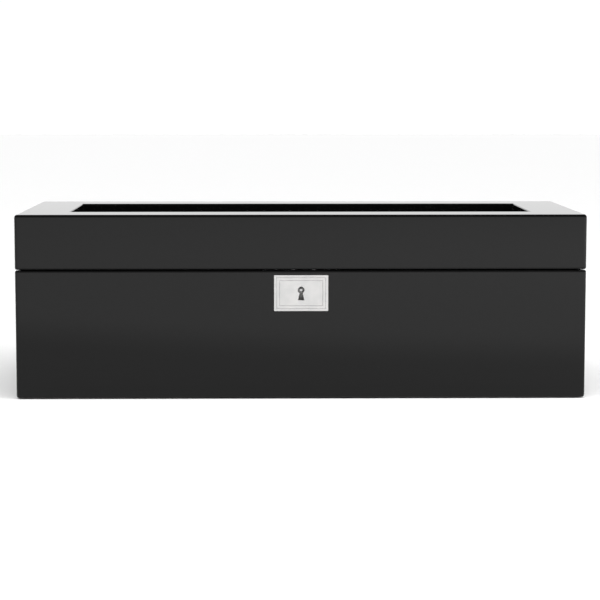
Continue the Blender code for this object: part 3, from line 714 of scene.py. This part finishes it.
def roll_form():
    """The uninflated roll about its middle: a bmesh, and its vertices by grid place."""
    ticks = [
        [extent * (2 * step / cells - 1) for step in range(cells + 1)]
        for extent, cells in zip(reach, ROLL_CELLS)
    ]
    shape, found = grid_box(ticks)
    for vertex in found.values():
        y, z = vertex.co.y, vertex.co.z
        spread = max(abs(y) / reach.y, abs(z) / reach.z)
        if spread < 1e-6:
            continue
        edge_y, edge_z = y / spread, z / spread
        middle_y = min(max(edge_y, -core_y), core_y)
        middle_z = min(max(edge_z, -core_z), core_z)
        away = Vector((edge_y - middle_y, edge_z - middle_z)).normalized() * ROLL_ROUND
        vertex.co.y = (middle_y + away.x) * spread
        vertex.co.z = (middle_z + away.y) * spread
    return shape, found


def seam_places(end):
    """The grid places around one end of the roll, in order."""
    wide, tall = ROLL_CELLS[1], ROLL_CELLS[2]
    around = [(step, 0) for step in range(wide)] + [(wide, step) for step in range(tall)]
    around += [(wide - step, tall) for step in range(wide)] + [(0, tall - step) for step in range(tall)]
    return [(end, y, z) for y, z in around]


def inflate(mesh, seam):
    """Blows the roll up as cloth, held at its seams, and returns its points."""
    start = [vertex.co.copy() for vertex in mesh.vertices]
    work = bpy.data.objects.new("work", mesh)
    bpy.context.scene.collection.objects.link(work)
    held = work.vertex_groups.new(name="seam")
    held.add(seam, 1.0, "REPLACE")
    cloth = work.modifiers.new("cloth", "CLOTH")
    cloth.settings.use_pressure = True
    cloth.settings.uniform_pressure_force = PRESSURE
    cloth.settings.vertex_group_mass = "seam"
    cloth.settings.effector_weights.gravity = 0
    cloth.settings.quality = 6
    for step in range(1, SETTLING + 1):
        bpy.context.scene.frame_set(step)
    blown = work.evaluated_get(bpy.context.evaluated_depsgraph_get()).to_mesh()
    points = []
    for vertex, before in zip(blown.vertices, start):
        moved = vertex.co - before
        points.append(before + moved * min(1, SWELL / max(moved.length, 1e-9)))
    bpy.data.objects.remove(work)
    bpy.context.scene.frame_set(1)
    return points


shape, found = roll_form()
shape.verts.index_update()
numbers = {place: vertex.index for place, vertex in found.items()}
seams = [[numbers[place] for place in seam_places(end)] for end in (0, ROLL_CELLS[0])]
roll_mesh = as_mesh(shape)
# The flat ends take the second material, suede.
for polygon in roll_mesh.polygons:
    polygon.material_index = int(abs(polygon.normal.x) > 0.9)
for vertex, point in zip(roll_mesh.vertices, inflate(roll_mesh.copy(), seams[0] + seams[1])):
    vertex.co = point


def seam_distance(point):
    """How far a point of the roll's surface is from the nearer seam."""
    over_y, over_z = abs(point.y) - core_y, abs(point.z) - core_z
    inward = ROLL_ROUND - math.hypot(max(over_y, 0), max(over_z, 0)) - min(max(over_y, over_z), 0)
    return math.hypot(max(reach.x - abs(point.x), 0), max(inward, 0))


def subdivided(mesh, levels):
    """A smoothed copy with this many subdivisions."""
    work = bpy.data.objects.new("work", mesh)
    bpy.context.scene.collection.objects.link(work)
    finer = work.modifiers.new("finer", "SUBSURF")
    finer.levels = finer.render_levels = levels
    bpy.context.view_layer.update()
    made = bpy.data.meshes.new_from_object(work.evaluated_get(bpy.context.evaluated_depsgraph_get()))
    bpy.data.objects.remove(work)
    return made


def tube(loop, radius, sides=10):
    """A closed cord along a loop that lies across X."""
    shape = bmesh.new()
    loops = []
    for index, point in enumerate(loop):
        along = (loop[(index + 1) % len(loop)] - loop[index - 1]).normalized()
        out = along.cross(Vector((1, 0, 0))).normalized()
        turns = [2 * math.pi * side / sides for side in range(sides)]
        loops.append([
            shape.verts.new(point + radius * (out * math.cos(turn) + Vector((1, 0, 0)) * math.sin(turn)))
            for turn in turns
        ])
    bridge(shape, loops, closed=True)
    return shape


def even_steps(loop, pitch):
    """Points and directions at an even pitch around a closed loop."""
    lengths = [(loop[(i + 1) % len(loop)] - loop[i]).length for i in range(len(loop))]
    count = round(sum(lengths) / pitch)
    gap = sum(lengths) / count
    steps, reached, index = [], 0.0, 0
    for step in range(count):
        while reached + lengths[index] < step * gap:
            reached += lengths[index]
            index += 1
        a, b = loop[index], loop[(index + 1) % len(loop)]
        steps.append((a.lerp(b, (step * gap - reached) / lengths[index]), (b - a).normalized()))
    return steps


smooth_roll = subdivided(roll_mesh, 2)
for index in range(1, 6):
    name = f"cushion_{index}"
    low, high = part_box(name)
    middle = (low + high) / 2
    mesh = smooth_roll.copy()
    normals = [normal.vector.copy() for normal in mesh.vertex_normals]
    for vertex, normal in zip(mesh.vertices, normals):
        point = vertex.co.copy()
        dent = noise.noise(point * 42 + Vector((0, 0, 9.1 * index)))
        around = math.atan2(point.z, point.y)
        pucker = noise.noise(Vector((11 * math.cos(around), 11 * math.sin(around), index)))
        pucker *= math.exp(-seam_distance(point) / PUCKER_REACH)
        point += normal * (DENT * dent + PUCKER * pucker - SINK)
        point = Vector([min(max(value, -most), most) for value, most in zip(point, roll_size)])
        vertex.co = point + middle
    roll = fit(f"{name}_roll", mesh, leather, name, "black_leather", name, crease=0)
    mesh.materials.append(suede)

    surface = BVHTree.FromPolygons([v.co for v in mesh.vertices], [p.vertices for p in mesh.polygons])
    cords, stitches = bmesh.new(), bmesh.new()
    for seam in seams:
        loop = [mesh.vertices[number].co.copy() for number in seam]
        cord = as_mesh(tube([point for point, _ in even_steps(loop, CORD_STEP)], PIPING))
        cords.from_mesh(cord)
        inward = Vector((math.copysign(1, middle.x - loop[0].x), 0, 0))
        for point, along in even_steps(loop, STITCH_PITCH):
            aim = point + inward * STITCH_INSET
            centre = Vector((aim.x, middle.y, middle.z))
            radial = (aim - centre).normalized()
            hit, normal, _, _ = surface.ray_cast(aim + radial * ROLL_ROUND, -radial)
            if hit is None:
                continue
            profile = [(0, 0)] + [
                (STITCH_RADIUS * math.sin(math.pi * share), STITCH_LENGTH * share)
                for share in (0.12, 0.3, 0.5, 0.7, 0.88)
            ] + [(0, STITCH_LENGTH)]
            foot = hit + normal * STITCH_DROP - along * STITCH_LENGTH / 2
            stitches.from_mesh(turned(profile, foot, along, 6))
    fit(f"{name}_piping", as_mesh(cords), leather, name, "black_leather", crease=0)
    fit(f"{name}_stitches", as_mesh(stitches), thread, name, "charcoal_suede", crease=0)


# ---- hinges ---------------------------------------------------------------------------------------
# Two nickel butt hinges sit in mortises at the back. Each has five knuckles rolled round a steel pin:
# three on the case's leaf and two on the lid's, countersunk for two screws a leaf.

KNUCKLES = 5
HINGE_LENGTH = 34 * MM
LEAF_DEPTH = 7.6 * MM
PIN = 1.0 * MM
HEAD = 1.5 * MM
SHANK = 0.75 * MM
SCREW_LENGTH = 8 * MM
LEAF_EASE = 0.15 * MM
KNUCKLE_EASE = 0.3 * MM
PIN_EASE = 0.5 * MM

tip = PLAY - SCREW_LENGTH
hole = [(0, tip), (SHANK + PLAY, tip), (SHANK + PLAY, -SHANK)]
hole += [(HEAD + PLAY, 0), (HEAD + PLAY, BEYOND), (0, BEYOND)]
for side in ("left", "right"):
    pin_low, pin_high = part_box(f"hinge_{side}_pin")
    middle = (pin_low.x + pin_high.x) / 2
    start = middle - HINGE_LENGTH / 2
    pitch = HINGE_LENGTH / KNUCKLES
    for body, own, face, up in (("case", 0, RIM, 1), ("lid", 1, LID_FOOT, -1)):
        low_z, high_z = sorted((face, face - up * LEAF))
        leaf_low = Vector((start, AXIS.y - LEAF_DEPTH, low_z))
        leaf = block(leaf_low, Vector((start + HINGE_LENGTH, AXIS.y, high_z)), LEAF_EASE)
        spans = [(start + index * pitch, start + (index + 1) * pitch) for index in range(KNUCKLES)]
        rooms = [bar(BARREL + PLAY, *span) for span in spans[1 - own::2]]
        knuckles = [bar(BARREL, a + PLAY, b - PLAY, KNUCKLE_EASE) for a, b in spans[own::2]]
        leaf = carve(leaf, *rooms)
        leaf = carve(leaf, *knuckles, operation="UNION")
        holes = [bar(PIN + PLAY, start - BEYOND, start + HINGE_LENGTH + BEYOND)]
        for number in (1, 2):
            screw_low, screw_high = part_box(f"hinge_{side}_{body}_screw_{number}")
            head = (screw_low + screw_high) / 2
            holes.append(turned(hole, (head.x, head.y, face), (0, 0, up), 32))
        name = f"hinge_{side}_{body}_leaf"
        fit(f"{name}_rolled", carve(leaf, *holes), bright, body, "satin_nickel", name, crease=30)
    pin = bar(PIN, pin_low.x, pin_high.x, PIN_EASE, 32)
    fit(f"hinge_{side}_pin_turned", pin, bright, "case", "satin_nickel", f"hinge_{side}_pin", crease=0)


# ---- screws ---------------------------------------------------------------------------------------
# Small countersunk wood screws with a straight slot hold the hinges and the lock's two plates. Nobody
# lines their slots up.

SLOT = 0.5 * MM
SLOT_DEPTH = 0.35 * MM
SLOT_TURN = 1.9
POINT = 0.25 * MM
THREADS = 7
THREAD_PITCH = 0.6 * MM
CORE = SHANK * 0.78
LAND = 0.08 * MM
RIM_EASE = 0.06 * MM

thread_foot = SHANK * 2.6 - SCREW_LENGTH
profile = [(0, -SCREW_LENGTH), (POINT, SHANK * 1.4 - SCREW_LENGTH), (SHANK, thread_foot)]
for turn in range(THREADS):
    crests = (CORE, 1 / 6), (SHANK, 3 / 6), (SHANK, 4 / 6), (CORE, 1)
    profile += [(radius, thread_foot + (turn + share) * THREAD_PITCH) for radius, share in crests]
profile += [(SHANK, -SHANK * 1.2), (SHANK, -SHANK), (HEAD, -LAND), (HEAD - RIM_EASE, 0), (0, 0)]
screw = turned(profile, (0, 0, 0), (0, 0, 1), 32)
slot_half = Vector((2 * HEAD, SLOT / 2, SLOT_DEPTH))
screw = carve(screw, block(-slot_half, slot_half))
screw_nodes = [
    (f"hinge_{side}_{body}_screw_{number}", body)
    for side in ("left", "right")
    for body in ("case", "lid")
    for number in (1, 2)
]
screw_nodes += [(f"lock_face_screw_{number}", "case") for number in (1, 2)]
screw_nodes += [(f"lock_strike_screw_{number}", "lid") for number in (1, 2)]
for index, (node, body) in enumerate(screw_nodes):
    low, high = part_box(node)
    middle = (low + high) / 2
    up = body == "case"
    head = Matrix.Translation((middle.x, middle.y, high.z if up else low.z))
    upside = Matrix.Rotation(0 if up else math.pi, 4, "X")
    slant = Matrix.Rotation(SLOT_TURN * index, 4, "Z")
    mesh = screw.copy()
    mesh.transform(head @ upside @ slant)
    fit(f"{node}_turned", mesh, bright, body, "satin_nickel", node, crease=30)


# ---- studio ---------------------------------------------------------------------------------------
# The box stands on a wide white table in front of a white wall, under soft light from above. The
# ceiling is dim, so that the lacquer stays black.

TABLE_REACH = 8
WALL_WHITE = 1.02
CEILING_GREY = 0.16
OVERHEAD_STRENGTH = 2.75
OVERHEAD_SPREAD = math.radians(60)
POOL_POWER = 340
POOL_CONE = math.radians(36)
POOL_PLACE = (0.35, -1.5, 4.0)
SIDE_POWER = 26
SIDE_SIZE = 0.9
SIDE_PLACE = (1.7, -0.9, 0.9)
SENSOR_WIDTH = 36
LENS = 118.98
CAMERA_PLACE = (-0.0197, -1.3288, 0.1938)
CAMERA_TILT = math.radians(84.041)
CAMERA_TURN = math.radians(-0.87)

table = bmesh.new()
bmesh.ops.create_grid(table, x_segments=1, y_segments=1, size=TABLE_REACH)
floor = bpy.data.objects.new("floor", as_mesh(table))
bpy.context.scene.collection.objects.link(floor)
paper, at = new_finish("white_table")
set_finish(paper, {
    "Base Color": at.cloud(30 * MM, 4).colour(grey(0.89), grey(0.91)),
    "Roughness": 0.9,
    "Specular IOR Level": 0.0,
})
floor.data.materials.append(paper)

world = bpy.data.worlds.new("studio")
bpy.context.scene.world = world
world.use_nodes = True
direction = Wire(world.node_tree.nodes.new("ShaderNodeTexCoord").outputs["Generated"])
glow = direction.axis(2).rise(0.16, 0.62).colour(grey(WALL_WHITE), grey(CEILING_GREY))
background = world.node_tree.nodes["Background"]
world.node_tree.links.new(glow.socket, background.inputs["Color"])


def soft_light(name, kind, way, strength, **settings):
    """A soft light that shines this way and isn't mirrored in the lacquer."""
    data = bpy.data.lights.new(name, kind)
    data.energy = strength
    for setting, value in settings.items():
        setattr(data, setting, value)
    light = bpy.data.objects.new(name, data)
    light.rotation_euler = Vector(way).to_track_quat("-Z", "Y").to_euler()
    light.visible_glossy = False
    bpy.context.scene.collection.objects.link(light)
    return light


soft_light("overhead", "SUN", (0.05, 0.5, -1), OVERHEAD_STRENGTH, angle=OVERHEAD_SPREAD)
pool = soft_light("front_pool", "SPOT", (0, 0, -1), POOL_POWER, spot_size=POOL_CONE, spot_blend=0.3)
pool.location = POOL_PLACE
side = soft_light("right_side", "AREA", (-1, 0, -0.7), SIDE_POWER, shape="SQUARE", size=SIDE_SIZE)
side.location = SIDE_PLACE

camera_data = bpy.data.cameras.new("camera")
camera_data.lens = LENS
camera_data.sensor_width = SENSOR_WIDTH
camera = bpy.data.objects.new("camera", camera_data)
camera.location = CAMERA_PLACE
camera.rotation_euler = (CAMERA_TILT, 0, CAMERA_TURN)
bpy.context.scene.collection.objects.link(camera)
bpy.context.scene.camera = camera
bpy.context.scene.view_settings.view_transform = "Standard"
